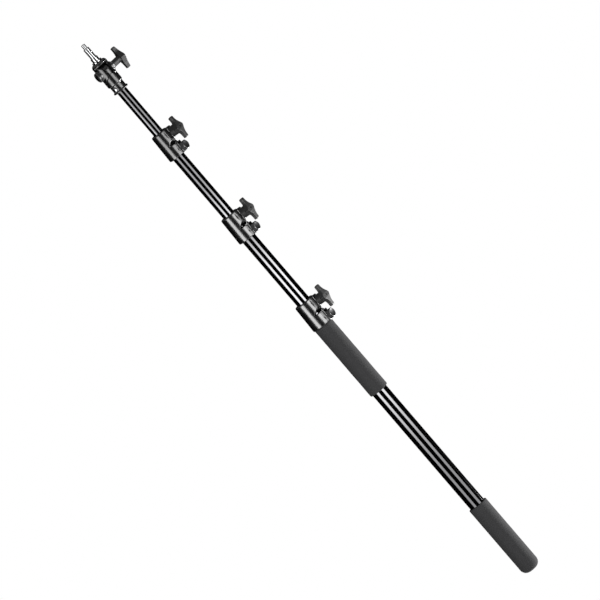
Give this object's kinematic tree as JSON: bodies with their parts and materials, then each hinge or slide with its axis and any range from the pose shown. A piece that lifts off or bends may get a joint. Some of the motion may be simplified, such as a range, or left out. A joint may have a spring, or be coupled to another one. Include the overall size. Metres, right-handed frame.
{
  "type": "boom pole",
  "caption": "Hand-held telescopic boom pole with clamped sections, foam grips, a tilting head and a chrome threaded spigot.",
  "frame": {"origin": "centre of the flat face at the butt end, where the foam end grip starts", "axes": "+Z along the pole from the butt to the spigot's tip; +X out through the clamp knobs of the three collars"},
  "size_m": [0.0573, 0.0536, 1.01],
  "materials": {
    "black_tube": "gloss black anodised, polished smooth",
    "black_casting": "satin black paint on die-cast alloy, fine orange peel",
    "knob_plastic": "satin moulded glass-filled nylon, faint mould texture",
    "grip_foam": "matte closed-cell foam with a fine open skin",
    "black_nylon": "plain moulded nylon",
    "chrome": "bright chrome plate",
    "black_steel": "black zinc plate with a semi-bright sheen",
    "zinc_steel": "bright zinc plate",
    "brass_pad": "machined brass"
  },
  "bodies": {
    "handle_section": {"tube_1": "black_tube", "butt_plug": "black_nylon", "end_grip": "grip_foam", "middle_grip": "grip_foam", "lower_collar_body": "black_casting", "lower_collar_liner": "black_nylon", "lower_collar_bolt": "black_steel"},
    "second_guide": {"guide_2": "black_nylon"},
    "second_section": {"tube_2": "black_tube", "middle_collar_body": "black_casting", "middle_collar_liner": "black_nylon", "middle_collar_bolt": "black_steel"},
    "third_guide": {"guide_3": "black_nylon"},
    "third_section": {"tube_3": "black_tube", "upper_collar_body": "black_casting", "upper_collar_liner": "black_nylon", "upper_collar_bolt": "black_steel"},
    "tip_guide": {"guide_4": "black_nylon"},
    "tip_section": {"tube_4": "black_tube", "head_socket": "black_casting", "head_set_screw": "chrome"},
    "lower_pad": {"lower_clamp_pad": "brass_pad"},
    "lower_knob": {"lower_clamp_knob": "knob_plastic", "lower_clamp_stud": "zinc_steel"},
    "middle_pad": {"middle_clamp_pad": "brass_pad"},
    "middle_knob": {"middle_clamp_knob": "knob_plastic", "middle_clamp_stud": "zinc_steel"},
    "upper_pad": {"upper_clamp_pad": "brass_pad"},
    "upper_knob": {"upper_clamp_knob": "knob_plastic", "upper_clamp_stud": "zinc_steel"},
    "tilt_head": {"tilt_fork": "black_casting", "spigot": "chrome", "pivot_bolt": "black_steel", "friction_washer_knob_side": "black_nylon", "friction_washer_bolt_side": "black_nylon"},
    "head_knob_washer": {"head_washer": "zinc_steel"},
    "head_clamp_knob": {"head_knob": "knob_plastic"}
  },
  "joints": [
    {"name": "second_section_slide", "type": "slide", "parent": "handle_section", "child": "second_guide", "axis": [0, 0, 1], "range_m": [-0.123, 0.2665]},
    {"name": "second_section_turn", "type": "hinge", "parent": "second_guide", "child": "second_section", "pos_m": [0, 0, 0.222], "axis": [0, 0, 1], "continuous": true},
    {"name": "third_section_slide", "type": "slide", "parent": "second_section", "child": "third_guide", "axis": [0, 0, 1], "range_m": [-0.1125, 0.256]},
    {"name": "third_section_turn", "type": "hinge", "parent": "third_guide", "child": "third_section", "pos_m": [0, 0, 0.4], "axis": [0, 0, 1], "continuous": true},
    {"name": "tip_section_slide", "type": "slide", "parent": "third_section", "child": "tip_guide", "axis": [0, 0, 1], "range_m": [-0.082, 0.265]},
    {"name": "tip_section_turn", "type": "hinge", "parent": "tip_guide", "child": "tip_section", "pos_m": [0, 0, 0.548], "axis": [0, 0, 1], "continuous": true},
    {"name": "lower_pad_press", "type": "slide", "parent": "handle_section", "child": "lower_pad", "axis": [1, 0, 0], "range_m": [0, 0.0015]},
    {"name": "lower_knob_turn", "type": "hinge", "parent": "lower_pad", "child": "lower_knob", "pos_m": [0.03, 0, 0.5069], "axis": [1, 0, 0], "range_deg": [0, 540.01]},
    {"name": "middle_pad_press", "type": "slide", "parent": "second_section", "child": "middle_pad", "axis": [1, 0, 0], "range_m": [0, 0.0015]},
    {"name": "middle_knob_turn", "type": "hinge", "parent": "middle_pad", "child": "middle_knob", "pos_m": [0.03, 0, 0.6744], "axis": [1, 0, 0], "range_deg": [0, 540.01]},
    {"name": "upper_pad_press", "type": "slide", "parent": "third_section", "child": "upper_pad", "axis": [1, 0, 0], "range_m": [0, 0.0015]},
    {"name": "upper_knob_turn", "type": "hinge", "parent": "upper_pad", "child": "upper_knob", "pos_m": [0.03, 0, 0.8314], "axis": [1, 0, 0], "range_deg": [0, 540.01]},
    {"name": "head_tilt", "type": "hinge", "parent": "tip_section", "child": "tilt_head", "pos_m": [0, 0, 0.9592], "axis": [0.5592, 0.829, 0], "range_deg": [-90, 90]},
    {"name": "head_washer_press", "type": "slide", "parent": "tilt_head", "child": "head_knob_washer", "axis": [0.5592, 0.829, 0], "range_m": [0, 0.0015]},
    {"name": "head_knob_turn", "type": "hinge", "parent": "head_knob_washer", "child": "head_clamp_knob", "pos_m": [0.01118, 0.01658, 0.9592], "axis": [0.5592, 0.829, 0], "range_deg": [0, 540.01]}
  ],
  "couplings": [
    {"joint": "lower_knob_turn", "follows": "lower_pad_press", "rad_per_m": 6283.2},
    {"joint": "middle_knob_turn", "follows": "middle_pad_press", "rad_per_m": 6283.2},
    {"joint": "upper_knob_turn", "follows": "upper_pad_press", "rad_per_m": 6283.2},
    {"joint": "head_knob_turn", "follows": "head_washer_press", "rad_per_m": 6283.2}
  ]
}
